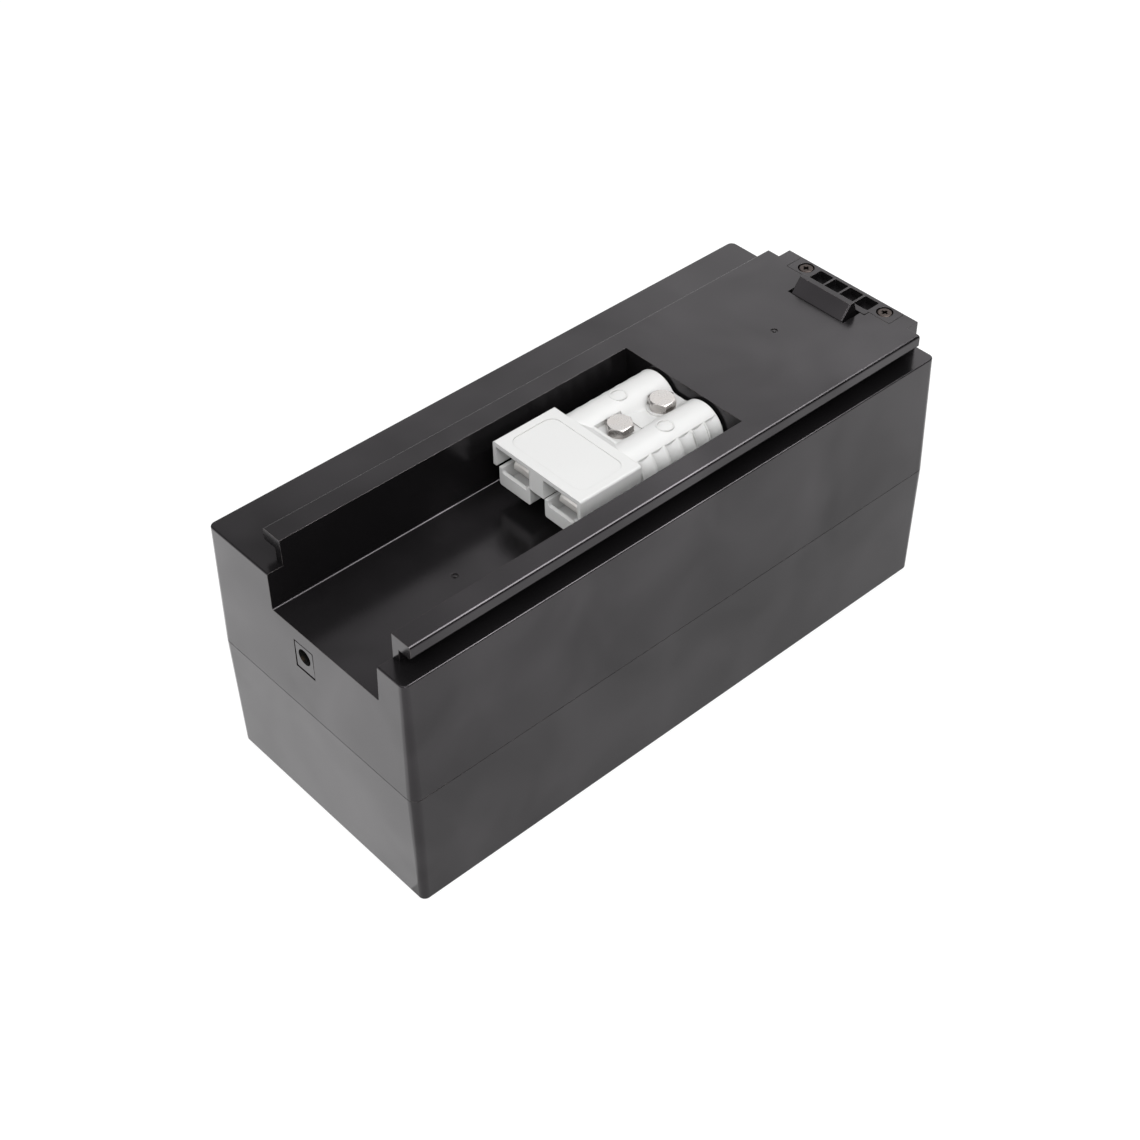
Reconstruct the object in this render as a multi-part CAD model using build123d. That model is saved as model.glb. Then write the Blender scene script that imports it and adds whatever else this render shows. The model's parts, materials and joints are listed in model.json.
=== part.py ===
from build123d import *
import math
import os

# A slide-in battery pack. It hangs from two T-shaped rails moulded on its lid, plugs into its
# holder through a two-pole power connector that lies in an open bay between the rails, and is
# kept there by a sprung latch at the tail.
#
# Frame: millimetres, +Z up. The origin is the centre of the case's underside, +Y points to the
# tail (the latch end) and -Y to the nose (the charge socket and the mouth of the connector bay).

# ---------------------------------------------------------------- driving dimensions: the case
CASE_WIDTH = 106.0          # across X, at the parting line
CASE_LENGTH = 250.0         # along Y, at the parting line
PARTING_Z = 51.5            # the two shells meet here
DECK_Z = 103.5              # flat top of the case, beside the rails
PLATFORM_Z = 114.0          # top of the raised platform that carries the rails
WALL = 3.0
DRAFT = 1.1                 # mould draft in degrees, both shells
CORNER_RADIUS = 3.5
INNER_CORNER = 1.5
BOTTOM_RADIUS = 1.0
EDGE_RADIUS = 0.5
SEAM_GAP = 0.25             # shadow groove around the parting line
SEAM_DEPTH = 0.5
TONGUE_OUTSET = 1.65        # the lid's tongue stands this far inside the case's outline
TONGUE_DEPTH = 2.0
REBATE_DEPTH = 3.0

# platform, rails and connector bay, all about one line beside the case's middle
RAIL_X = 10.3               # centre line of the rails, bay, connector and latch
BAY_HALF = 29.0             # at the top; the bay's walls have draft
BAY_FLOOR_HALF = 28.3
BAY_CORNER = 0.8
WEB_HALF = 32.0
LIP_HALF = 38.1
LIP_THICK = 5.0
LIP_ROUND = 1.0
RAIL_FRONT = -117.6
LIP_REAR = 118.1
BAY_REAR = 35.6
BAY_FLOOR_Z = 88.5
GATE_MARKS = ((82.0, PLATFORM_Z), (-70.0, BAY_FLOOR_Z))    # moulding marks: Y and height
GATE_RADIUS = 1.3

# two-pole connector
CONNECTOR_HALF = 22.25
CONNECTOR_FRONT = -33.2
HOOD_REAR = -5.4
CONNECTOR_REAR = 34.6
CONNECTOR_MID_Z = 103.0
CONNECTOR_HALF_HEIGHT = 10.0
POLE_X = 11.75              # each pole's distance from the connector's middle
LOBE_RADIUS = 10.0
CUP_DEPTH = 7.7
CUP_WALL = 1.5
GRIP_SCOOPS = 6
GRIP_RIB = 0.9              # crest between two scoops
GRIP_DEPTH = 0.9
GRIP_FROM = 6.0             # the scoops start this far outside each pole's middle
HOOD_SLOT = 1.8             # slot between the hood and the first rib
SADDLE_DROP = 1.8           # how far the saddle lies below the lobes' tops
BOLT_Y = (5.2, 25.5)
BOLT_SEAT_Z = 109.4
BOLT_SEAT_HALF = 6.2        # the near bolt's square seat
BOLT_SEAT_RADIUS = 5.4      # the far bolt's round seat
BOLT_RADIUS = 2.5           # M5
BOLT_HEX = 9.0
BOLT_HEAD = 2.8
BOLT_LENGTH = 22.0
WASHER_RADIUS = 4.5
WASHER_THICK = 1.0
CONTACT_TOP_Z = 104.6
CONTACT_UNDER_Z = 101.6
PAD_RADIUS = 7.0
INSERT_RADIUS = 3.45
CABLE_RADIUS = 5.0
CABLE_HOLE_RADIUS = 6.2
BARREL_RADIUS = 5.4

# latch, its cover and its well
LATCH_HALF = 12.6
LATCH_FOOT_HALF = 13.4
LATCH_FRONT = 104.1
LATCH_REAR = 112.2
RIDGE_FRONT = 108.4
RIDGE_REAR = 110.6
LATCH_RISE = 5.1            # how far the ridge stands above the platform
LATCH_BASE_Z = 100.0
LATCH_FOOT_REAR = 117.2
WELL_HALF = 13.8
WELL_REAR = 117.6
WELL_FLOOR_Z = 88.0
COVER_HALF = 25.4
COVER_FRONT = 115.6
COVER_BLOCK_HALF = 15.5
COVER_BLOCK_FRONT = 113.3
COVER_BLOCK_Z = 106.0
COVER_THICK = 4.0
COVER_PLAY = 0.4
COVER_SCREW_X = 19.6
COVER_SCREW_Y = 119.9
COVER_SCREW_HEAD = 1.8
COVER_POCKETS = 4
SPRING_X = 7.5
SPRING_Y = 110.6
SPRING_RADIUS = 3.0
SPRING_WIRE = 0.4
SPRING_SEAT_Z = 104.0

# charge socket
SOCKET_X = -1.9
SOCKET_Z = 77.0
SOCKET_WIDTH = 9.4
SOCKET_HEIGHT = 11.2
SOCKET_DEPTH = 14.2
SOCKET_BORE_Z = SOCKET_Z + 1.0
SOCKET_BORE_RADIUS = 3.2
SOCKET_BORE_DEPTH = 10.0
SOCKET_PIN_RADIUS = 1.05
SOCKET_RECESS = 0.1
TAB_X = 2.5
TAB_Z = 78.6

# cells: 4 across by 10 along, standing on end
CELL_RADIUS = 10.6
CELL_LENGTH = 70.2
CELL_PITCH_X = 22.5
CELL_PITCH_Y = 22.0
CELLS_ACROSS = 4
CELL_ROWS = 10
CELL_BLOCK_Y = 4.0          # middle of the block
FOAM_THICK = 2.0
SHEET_THICK = 0.5
STRIP_THICK = 0.3
STRIP_HALF_X = 6.0
STRIP_HALF_Y = 7.0
HOLDER_DEPTH = 8.0
HOLDER_HALF_X = 46.0

# case screws, driven from below
BOSS_RADIUS = 4.4
BOSS_X = 44.8
BOSS_Y = (-115.2, 4.0, 116.2)
SCREW_RADIUS = 1.5
SCREW_HEAD_RADIUS = 2.8
SCREW_HEAD = 2.2
CASE_SCREW_SEAT_Z = 32.0
CASE_SCREW_TIP_Z = 64.0

# battery management board
BOARD_X = (-42.0, 26.0)
BOARD_Y = (46.0, 98.0)
BOARD_Z = 82.0
BOARD_THICK = 1.6
BOARD_SCREW_RADIUS = 1.25
BOARD_SCREW_HEAD = 1.8
POST_RADIUS = 3.0
TRANSISTORS = 6
TRANSISTOR_HEIGHT = 4.4
RIBBON_X = (5.0, 18.0)
RIBBON_Z = (77.6, 78.8)
CHARGE_WIRE_Z = 80.25
STRAP_X = 39.0              # the positive strap and its fuse
STRAP_HALF = 3.0
STRAP_Z = (86.2, 87.9)
STRAP_END_Y = 101.0
LEAD_X = -32.0              # the negative lead
LEAD_RADIUS = 3.0

RUN = 0.05                  # clearance that keeps neighbouring solids apart
OVERCUT = 1.0               # how far a cut reaches past the face that it opens

# ---------------------------------------------------------------- worked-out dimensions
TAN_DRAFT = math.tan(math.radians(DRAFT))
DECK_HALF_LENGTH = CASE_LENGTH / 2 - (DECK_Z - PARTING_Z) * TAN_DRAFT
SOCKET_FRONT = SOCKET_RECESS - CASE_LENGTH / 2 + (SOCKET_Z - PARTING_Z) * TAN_DRAFT
LIP_UNDER_Z = PLATFORM_Z - LIP_THICK
RIDGE_Z = PLATFORM_Z + LATCH_RISE
BAY_UNDER_Z = BAY_FLOOR_Z - WALL
BAY_WALL_REAR = BAY_REAR + WALL
CONNECTOR_BASE_Z = CONNECTOR_MID_Z - CONNECTOR_HALF_HEIGHT
CONNECTOR_TOP_Z = CONNECTOR_MID_Z + CONNECTOR_HALF_HEIGHT
CUP_FLOOR_Z = CONNECTOR_MID_Z - CUP_DEPTH + CUP_WALL
CELL_BASE_Z = WALL + FOAM_THICK + SHEET_THICK + STRIP_THICK
CELL_TOP_Z = CELL_BASE_Z + CELL_LENGTH
BOARD_TOP_Z = BOARD_Z + BOARD_THICK
BLOCK_HALF_Y = CELL_ROWS * CELL_PITCH_Y / 2 + 1.5
BLOCK_ENDS = (CELL_BLOCK_Y - BLOCK_HALF_Y, CELL_BLOCK_Y + BLOCK_HALF_Y)
ROW_Y = [CELL_BLOCK_Y + (row - (CELL_ROWS - 1) / 2) * CELL_PITCH_Y for row in range(CELL_ROWS)]
COLUMN_X = [(column - (CELLS_ACROSS - 1) / 2) * CELL_PITCH_X for column in range(CELLS_ACROSS)]
BOSS_PLACES = [(side * BOSS_X, y) for side in (-1, 1) for y in BOSS_Y]
BOARD_PLACES = [(x, y) for x in (BOARD_X[0] + 4.0, BOARD_X[1] - 4.0) for y in (50.0, 94.0)]
COVER_SCREW_PLACES = [(RAIL_X + side * COVER_SCREW_X, COVER_SCREW_Y) for side in (-1, 1)]
POLES = (RAIL_X - POLE_X, RAIL_X + POLE_X)


# ---------------------------------------------------------------- shape helpers
def block(x0, x1, y0, y1, z0, z1):
    """A box from its two ends along each axis."""
    return Pos((x0 + x1) / 2, (y0 + y1) / 2, (z0 + z1) / 2) * Box(x1 - x0, y1 - y0, z1 - z0)


def centred(half, y0, y1, z0, z1, x=RAIL_X):
    """A box that reaches the same distance to both sides of a lengthwise line."""
    return block(x - half, x + half, y0, y1, z0, z1)


def upright(x, y, z0, z1, radius):
    """A round bar along Z."""
    return Pos(x, y, (z0 + z1) / 2) * Cylinder(radius, z1 - z0)


def lengthwise(x, z, y0, y1, radius):
    """A round bar along Y."""
    return Pos(x, (y0 + y1) / 2, z) * Rot(90, 0, 0) * Cylinder(radius, y1 - y0)


def side_profile(points, x0, x1):
    """A solid whose outline is drawn in the YZ plane and runs from x0 to x1."""
    outline = Plane.YZ * make_face(Polyline(*points, close=True))
    return Pos(x0, 0, 0) * extrude(outline, amount=x1 - x0)


def case_half(inset, height):
    """Half of the case's drafted block, standing on z = 0 with its widest section down."""
    corner = max(CORNER_RADIUS - inset, INNER_CORNER)
    plan = RectangleRounded(CASE_WIDTH - 2 * inset, CASE_LENGTH - 2 * inset, corner)
    return extrude(plan, amount=height, taper=DRAFT)


def upper_block(inset, top):
    return Pos(0, 0, PARTING_Z) * case_half(inset, top - PARTING_Z)


def lower_block(inset, bottom):
    return Pos(0, 0, PARTING_Z) * Rot(180, 0, 0) * case_half(inset, PARTING_Z - bottom)


def rim(outer_inset, inner_inset, z0, z1):
    """A rectangular ring that follows the case wall near the parting line."""
    outer = RectangleRounded(
        CASE_WIDTH - 2 * outer_inset, CASE_LENGTH - 2 * outer_inset, CORNER_RADIUS - outer_inset
    )
    inner = RectangleRounded(
        CASE_WIDTH - 2 * inner_inset, CASE_LENGTH - 2 * inner_inset, INNER_CORNER
    )
    return Pos(0, 0, z0) * extrude(outer - inner, amount=z1 - z0)


def hex_prism(x, y, z0, z1, across_flats):
    """A hexagonal bar along Z with two corners on its lengthwise middle line."""
    plan = RegularPolygon(across_flats / 2, 6, major_radius=False, rotation=30)
    return Pos(x, y, z0) * extrude(plan, amount=z1 - z0)


def cross_recess(x, y, top, reach, depth):
    """The cross-shaped socket in a screw head, open at the top."""
    slot = 0.9
    bar = Box(2 * reach, slot, depth)
    cross = bar + Rot(0, 0, 90) * bar
    return Pos(x, y, top - depth / 2 + 0.01) * cross


def cable(radius, points, bend):
    """A round cable along a path whose corners are rounded."""
    path = FilletPolyline(*points, radius=bend)
    start = Plane(origin=path @ 0, z_dir=path % 0)
    return sweep(start * Circle(radius), path=path)


# ---------------------------------------------------------------- upper case
def screw_boss(x, y, z0, z1):
    """A column for a case screw, tied to the nearest long wall."""
    tie_half = 2.0
    wall_x = math.copysign(CASE_WIDTH / 2 - WALL / 2, x)
    tie = block(min(x, wall_x), max(x, wall_x), y - tie_half, y + tie_half, z0, z1)
    return upright(x, y, z0, z1, BOSS_RADIUS) + tie


def rails():
    """The raised platform with its overhanging lips."""
    platform = centred(WEB_HALF, RAIL_FRONT, DECK_HALF_LENGTH, DECK_Z - OVERCUT, PLATFORM_Z)
    lips = centred(LIP_HALF, RAIL_FRONT, LIP_REAR, LIP_UNDER_Z, PLATFORM_Z)
    return platform + fillet(lips.edges().filter_by(Axis.Y), LIP_ROUND)


def lid_hollow():
    """The room inside the lid, less the tub that forms the connector bay."""
    tub = centred(WEB_HALF, -CASE_LENGTH, BAY_WALL_REAR, BAY_UNDER_Z, PLATFORM_Z)
    under_platform = centred(
        BAY_HALF, BAY_WALL_REAR, DECK_HALF_LENGTH - WALL, DECK_Z - 2 * WALL, PLATFORM_Z - WALL
    )
    return upper_block(WALL, DECK_Z - WALL) - tub + under_platform


def bay_space():
    """The connector bay: drafted walls, rounded floor corners, open at the nose."""
    top = PLATFORM_Z + OVERCUT
    corners = [
        (RAIL_X - BAY_HALF, top),
        (RAIL_X - BAY_FLOOR_HALF, BAY_FLOOR_Z),
        (RAIL_X + BAY_FLOOR_HALF, BAY_FLOOR_Z),
        (RAIL_X + BAY_HALF, top),
    ]
    section = make_face(Polyline(*corners, close=True))
    section = fillet(section.vertices().group_by(Axis.Y)[0], BAY_CORNER)
    return Pos(0, BAY_REAR, 0) * extrude(Plane.XZ * section, amount=CASE_LENGTH)


def bay_pads():
    """Two pads on the bay's floor that carry the connector."""
    return [upright(RAIL_X, y, BAY_FLOOR_Z - OVERCUT, CONNECTOR_BASE_Z, PAD_RADIUS) for y in BOLT_Y]


def bay_holes():
    """Holes for the threaded inserts and the two cable grommets."""
    insert_base = BAY_UNDER_Z + 0.5
    insert_top = CONNECTOR_BASE_Z + OVERCUT
    holes = [upright(RAIL_X, y, insert_base, insert_top, INSERT_RADIUS + RUN) for y in BOLT_Y]
    ends = (BAY_REAR - OVERCUT, BAY_WALL_REAR + OVERCUT)
    holes += [lengthwise(x, CONNECTOR_MID_Z, *ends, CABLE_HOLE_RADIUS) for x in POLES]
    return holes


def gate_mark(y, z):
    """A small ring groove where the moulding gate was trimmed."""
    depth = 0.3
    pip_radius = 0.6
    ring = upright(RAIL_X, y, z - depth, z + OVERCUT, GATE_RADIUS)
    return ring - upright(RAIL_X, y, z - 2 * depth, z, pip_radius)


def latch_house():
    """Walls round the latch's well, and the shelf under its cover."""
    wall = 2.5
    rear = DECK_HALF_LENGTH
    well = centred(WELL_HALF + wall, LATCH_FRONT - WALL, rear, WELL_FLOOR_Z - wall, PLATFORM_Z)
    shelf = centred(COVER_HALF + wall, COVER_BLOCK_FRONT - wall, rear, 101.0, PLATFORM_Z)
    return well + shelf


def latch_pocket():
    """Everything that the latch, its cover and their play take out of the lid."""
    beyond = DECK_HALF_LENGTH + 5.0
    top = PLATFORM_Z + 5.0
    ear_z = PLATFORM_Z - COVER_THICK
    block_half = COVER_BLOCK_HALF + COVER_PLAY
    ears = centred(COVER_HALF + 0.2, COVER_FRONT - 0.2, beyond, ear_z, top)
    middle = centred(block_half, COVER_BLOCK_FRONT - COVER_PLAY, beyond, COVER_BLOCK_Z, top)
    well = centred(WELL_HALF, LATCH_FRONT - 0.5, WELL_REAR, WELL_FLOOR_Z, top)
    room = ears + middle + well
    for x, y in COVER_SCREW_PLACES:
        room += upright(x, y, 102.6, top, SCREW_RADIUS + RUN / 2)
    return room


def socket_opening():
    play = 0.45
    half_height = SOCKET_HEIGHT / 2 + play
    nose = -CASE_LENGTH / 2
    return centred(
        SOCKET_WIDTH / 2 + play, nose, nose + 8.0, SOCKET_Z - half_height, SOCKET_Z + half_height,
        x=SOCKET_X,
    )


def upper_case():
    skin = upper_block(0, DECK_Z)
    skin = fillet(skin.edges().group_by(Axis.Z)[-1], EDGE_RADIUS)
    shell = skin + rails() - lid_hollow() + latch_house()
    shell += rim(TONGUE_OUTSET, WALL, PARTING_Z - TONGUE_DEPTH, PARTING_Z + 1.0)
    for x, y in BOSS_PLACES:
        shell += screw_boss(x, y, PARTING_Z, CASE_SCREW_TIP_Z + 4.0)
        shell -= upright(
            x, y, PARTING_Z - OVERCUT, CASE_SCREW_TIP_Z + 1.0, SCREW_RADIUS + RUN / 2
        )
    shell -= rim(-OVERCUT, SEAM_DEPTH, PARTING_Z - OVERCUT, PARTING_Z + SEAM_GAP / 2)
    shell -= bay_space()
    for pad in bay_pads():
        shell += pad
    for hole in bay_holes():
        shell -= hole
    for y, z in GATE_MARKS:
        shell -= gate_mark(y, z)
    return shell - latch_pocket() - socket_opening()


# ---------------------------------------------------------------- lower case and its fasteners
def boss_columns():
    columns = Part()
    for x, y in BOSS_PLACES:
        columns += upright(x, y, 0, PARTING_Z + 2.0, BOSS_RADIUS)
    return columns


def lower_case():
    rebate_width = 8.0
    head_play = 0.4
    shank_play = 0.2
    skin = lower_block(0, 0)
    skin = fillet(skin.edges().group_by(Axis.Z)[0], BOTTOM_RADIUS)
    shell = skin - lower_block(WALL, WALL)
    for x, y in BOSS_PLACES:
        shell += screw_boss(x, y, WALL - 1.0, PARTING_Z)
    # rebate for the lid's tongue and the seal, and the shadow groove
    rebate = rim(TONGUE_OUTSET - 0.15, rebate_width, PARTING_Z - REBATE_DEPTH, PARTING_Z + OVERCUT)
    shell -= rebate - boss_columns()
    shell -= rim(-OVERCUT, SEAM_DEPTH, PARTING_Z - SEAM_GAP / 2, PARTING_Z + OVERCUT)
    for x, y in BOSS_PLACES:
        shell -= upright(x, y, -OVERCUT, CASE_SCREW_SEAT_Z, SCREW_HEAD_RADIUS + head_play)
        shell -= upright(x, y, 0, PARTING_Z + OVERCUT, SCREW_RADIUS + shank_play)
    return shell


def case_seal():
    """A cord in the rebate, squeezed by the lid's tongue."""
    return rim(
        TONGUE_OUTSET, WALL - 0.15, PARTING_Z - REBATE_DEPTH, PARTING_Z - TONGUE_DEPTH
    )


def case_screws():
    """Self-tapping screws, heads down in the lower case."""
    recess_depth = 1.2
    head_z = CASE_SCREW_SEAT_Z - SCREW_HEAD
    screws = []
    for x, y in BOSS_PLACES:
        head = upright(x, y, head_z, CASE_SCREW_SEAT_Z, SCREW_HEAD_RADIUS)
        shank = upright(x, y, CASE_SCREW_SEAT_Z, CASE_SCREW_TIP_Z, SCREW_RADIUS)
        screws.append(head + shank - cross_recess(x, y, head_z + recess_depth - 0.02, 1.6, recess_depth))
    return Compound(children=screws)


# ---------------------------------------------------------------- latch
def spring_places():
    return (RAIL_X - SPRING_X, RAIL_X + SPRING_X)


def latch_wedge():
    """The ridge: a ramp towards the nose and a steep face towards the tail."""
    outline = [
        (LATCH_FRONT, LATCH_BASE_Z),
        (LATCH_FRONT, PLATFORM_Z - 0.2),
        (RIDGE_FRONT, RIDGE_Z),
        (RIDGE_REAR, RIDGE_Z),
        (LATCH_REAR, PLATFORM_Z),
        (LATCH_REAR, LATCH_BASE_Z),
    ]
    wedge = side_profile(outline, RAIL_X - LATCH_HALF, RAIL_X + LATCH_HALF)
    sides = wedge.edges().filter_by(Axis.X, reverse=True).filter_by(Axis.Z, reverse=True)
    ramp_sides = sides.filter_by(Axis.Y, reverse=True).group_by(Axis.Y)[0]
    return chamfer(ramp_sides, 0.5)


def latch():
    """A wedge that the holder's bar rides over, on a foot that the cover traps."""
    foot = centred(
        LATCH_FOOT_HALF, LATCH_FRONT, LATCH_FOOT_REAR, LATCH_BASE_Z, COVER_BLOCK_Z - 0.1
    )
    body = latch_wedge() + foot
    for x in spring_places():
        body -= upright(x, SPRING_Y, LATCH_BASE_Z - OVERCUT, SPRING_SEAT_Z, SPRING_RADIUS + 1.0)
    return body


def latch_springs():
    """Two coil springs between the well's floor and the latch's foot."""
    height = SPRING_SEAT_Z - WELL_FLOOR_Z - 2 * (SPRING_WIRE + RUN)
    turns = 6
    springs = []
    for x in spring_places():
        coil = Helix(pitch=height / turns, height=height, radius=SPRING_RADIUS)
        start = Plane(origin=coil @ 0, z_dir=coil % 0)
        spring = sweep(start * Circle(SPRING_WIRE), path=coil, is_frenet=True)
        springs.append(Pos(x, SPRING_Y, WELL_FLOOR_Z + SPRING_WIRE + RUN) * spring)
    return Compound(children=springs)


def cover_pocket(number):
    """One of the row of square pockets in the latch cover."""
    pitch = 7.5
    half_width = 3.3
    depth = 3.0
    x = RAIL_X + (number - (COVER_POCKETS - 1) / 2) * pitch
    pocket = centred(half_width, 115.9, 122.6, PLATFORM_Z - depth, PLATFORM_Z + OVERCUT, x=x)
    return fillet(pocket.edges().filter_by(Axis.Z), 0.6)


def latch_cover():
    """The screwed piece behind the latch: two ears, and a middle block with pockets."""
    rear = DECK_HALF_LENGTH
    lift = 0.02
    ears = centred(COVER_HALF, COVER_FRONT, rear, PLATFORM_Z - COVER_THICK + lift, PLATFORM_Z)
    middle = centred(COVER_BLOCK_HALF, COVER_BLOCK_FRONT, rear, COVER_BLOCK_Z + lift, PLATFORM_Z)
    middle = chamfer(middle.edges().filter_by(Axis.Z).group_by(Axis.Y)[0], 0.6)
    body = ears + middle
    for number in range(COVER_POCKETS):
        body -= cover_pocket(number)
    for x, y in COVER_SCREW_PLACES:
        body -= upright(x, y, COVER_BLOCK_Z, PLATFORM_Z + OVERCUT, SCREW_RADIUS + 0.2)
        body -= upright(x, y, PLATFORM_Z - COVER_SCREW_HEAD, PLATFORM_Z + OVERCUT, 3.2)
    return body


def latch_cover_screws():
    screws = []
    seat_z = PLATFORM_Z - COVER_SCREW_HEAD
    top = PLATFORM_Z - 0.1
    for x, y in COVER_SCREW_PLACES:
        head = upright(x, y, seat_z, top, 2.9)
        head = fillet(head.edges().group_by(Axis.Z)[-1], 0.6)
        shank = upright(x, y, 103.0, seat_z, SCREW_RADIUS)
        screws.append(head + shank - cross_recess(x, y, top, 1.3, 1.1))
    return Compound(children=screws)


# ---------------------------------------------------------------- power connector
def connector_body():
    """The cable half: two round lobes side by side, with a lower saddle between them."""
    lobe = Circle(LOBE_RADIUS)
    section = Pos(-POLE_X, 0) * lobe + Pos(POLE_X, 0) * lobe + Rectangle(2 * POLE_X, 11.2)
    section = fillet(section.vertices(), 3.0)
    lobes = extrude(Plane.XZ * section, amount=CONNECTOR_REAR - HOOD_REAR)
    top = CONNECTOR_TOP_Z
    base = CONNECTOR_BASE_Z
    fade = 4.4
    outline = [
        (HOOD_REAR, base), (HOOD_REAR, top), (HOOD_REAR + 3.2, top - SADDLE_DROP),
        (4.0, top - SADDLE_DROP), (20.0, top - fade), (20.0, base + fade), (0.0, base),
    ]
    saddle = side_profile(outline, RAIL_X - POLE_X, RAIL_X + POLE_X)
    return Pos(RAIL_X, CONNECTOR_REAR, CONNECTOR_MID_Z) * lobes + saddle


def grip_cuts(side):
    """Shallow scoops round the flank of one lobe, and the slot between it and the hood."""
    first = HOOD_REAR + HOOD_SLOT
    pitch = (CONNECTOR_REAR - first) / GRIP_SCOOPS
    half_chord = (pitch - GRIP_RIB) / 2
    scoop_radius = (half_chord ** 2 + GRIP_DEPTH ** 2) / (2 * GRIP_DEPTH)
    scoop_orbit = LOBE_RADIUS - GRIP_DEPTH + scoop_radius
    inner = RAIL_X + side * (POLE_X + GRIP_FROM)
    outer = RAIL_X + side * (CONNECTOR_HALF + OVERCUT)
    low = CONNECTOR_BASE_Z - OVERCUT
    high = CONNECTOR_TOP_Z + OVERCUT
    flank = block(min(inner, outer), max(inner, outer), first, CONNECTOR_REAR + OVERCUT, low, high)
    cuts = [block(min(inner, outer), max(inner, outer), HOOD_REAR, first, low, high)]
    for number in range(GRIP_SCOOPS):
        y = first + (number + 0.5) * pitch
        ring = Pos(RAIL_X + side * POLE_X, y, CONNECTOR_MID_Z) * Rot(90, 0, 0)
        cuts.append(ring * Torus(scoop_orbit, scoop_radius) & flank)
    return cuts


def connector_hood():
    """The mating half: a roofed hood above the middle plane, with a web down its middle."""
    roof = 1.8
    skirt = 1.6
    web_half = 3.55
    back_thick = 1.4
    back_y = HOOD_REAR - back_thick
    hood = centred(CONNECTOR_HALF, CONNECTOR_FRONT, HOOD_REAR, CONNECTOR_MID_Z, CONNECTOR_TOP_Z)
    hood = fillet(hood.edges().filter_by(Axis.Y).group_by(Axis.Z)[-1], 0.9)
    for side in (-1, 1):
        ends = sorted((RAIL_X + side * web_half, RAIL_X + side * (CONNECTOR_HALF - skirt)))
        hood -= block(
            *ends, CONNECTOR_FRONT - OVERCUT, back_y, CONNECTOR_MID_Z - OVERCUT, CONNECTOR_TOP_Z - roof
        )
    return hood + centred(CONNECTOR_HALF - 0.8, back_y, HOOD_REAR, CONNECTOR_BASE_Z, CONNECTOR_TOP_Z)


def connector_cup(x):
    """An open cup that carries a contact's tip, with a lower lip at its mouth."""
    half = 8.0
    inner = half - CUP_WALL
    lip_drop = 2.2
    front = CONNECTOR_FRONT + 0.4
    base = CUP_FLOOR_Z - CUP_WALL
    cup = centred(half, front, HOOD_REAR, base, CONNECTOR_MID_Z - 0.1, x=x)
    cup = fillet(cup.edges().filter_by(Axis.Y).group_by(Axis.Z)[0], 1.0)
    cup -= centred(inner, front + CUP_WALL, HOOD_REAR, CUP_FLOOR_Z, CONNECTOR_MID_Z, x=x)
    mouth = centred(
        inner, CONNECTOR_FRONT, front + 2.6, CONNECTOR_MID_Z - lip_drop, CONNECTOR_MID_Z + lip_drop, x=x
    )
    return cup - fillet(mouth.edges().filter_by(Axis.Y), 1.0)


def label_panel():
    """A shallow plain panel on the hood, with nothing on it."""
    depth = 0.3
    plan = RectangleRounded(37.0, 20.5, 4.0)
    middle_y = (CONNECTOR_FRONT + HOOD_REAR) / 2
    return Pos(RAIL_X, middle_y, CONNECTOR_TOP_Z - depth) * extrude(plan, amount=OVERCUT)


def lobe_ring(x):
    """A plain raised ring on one lobe."""
    top = CONNECTOR_TOP_Z + 0.15
    ring = upright(x, 15.6, CONNECTOR_TOP_Z - 1.2, top, 3.2)
    return ring - upright(x, 15.6, CONNECTOR_TOP_Z - 2.0, top + OVERCUT, 2.7)


def connector_housing():
    top = CONNECTOR_TOP_Z
    shape = connector_body()
    for cut in grip_cuts(-1) + grip_cuts(1):
        shape -= cut
    shape += connector_hood() - label_panel()
    for x in POLES:
        shape += connector_cup(x) + lobe_ring(x)
    # seats and holes for the two bolts
    near, far = BOLT_Y
    shape -= centred(
        BOLT_SEAT_HALF, near - BOLT_SEAT_HALF, near + BOLT_SEAT_HALF, BOLT_SEAT_Z, top + OVERCUT
    )
    shape += upright(RAIL_X, far, CONNECTOR_MID_Z, BOLT_SEAT_Z, BOLT_SEAT_RADIUS)
    shape -= upright(RAIL_X, far, BOLT_SEAT_Z, top + OVERCUT, BOLT_SEAT_RADIUS)
    for y in BOLT_Y:
        shape -= upright(RAIL_X, y, CONNECTOR_BASE_Z - OVERCUT, top, BOLT_RADIUS + 0.25)
    # a channel for each contact and its cable
    for x in POLES:
        shape -= lengthwise(x, CONNECTOR_MID_Z, 1.0, CONNECTOR_REAR + OVERCUT, BARREL_RADIUS + 0.2)
        shape -= centred(
            5.3, HOOD_REAR - 4.0, 2.0, CONTACT_UNDER_Z - 0.6, CONTACT_TOP_Z + 0.6, x=x
        )
    return shape


def contact(x):
    """A plated bar with a rounded tip in the cup and a crimp barrel on the cable."""
    top = CONTACT_TOP_Z
    under = CONTACT_UNDER_Z
    tip_y = CONNECTOR_FRONT + 4.4
    outline = [
        (3.0, under), (3.0, top), (tip_y + 2.0, top), (tip_y + 0.9, top - 0.3),
        (tip_y + 0.3, top - 0.9), (tip_y, top - 2.0), (tip_y, under),
    ]
    bar = side_profile(outline, x - 5.0, x + 5.0)
    barrel = lengthwise(x, CONNECTOR_MID_Z, 2.0, 22.0, BARREL_RADIUS)
    return bar + barrel - lengthwise(x, CONNECTOR_MID_Z, 4.5, 23.0, 3.95)


def contact_negative():
    return contact(POLES[0])


def contact_positive():
    return contact(POLES[1])


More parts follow.
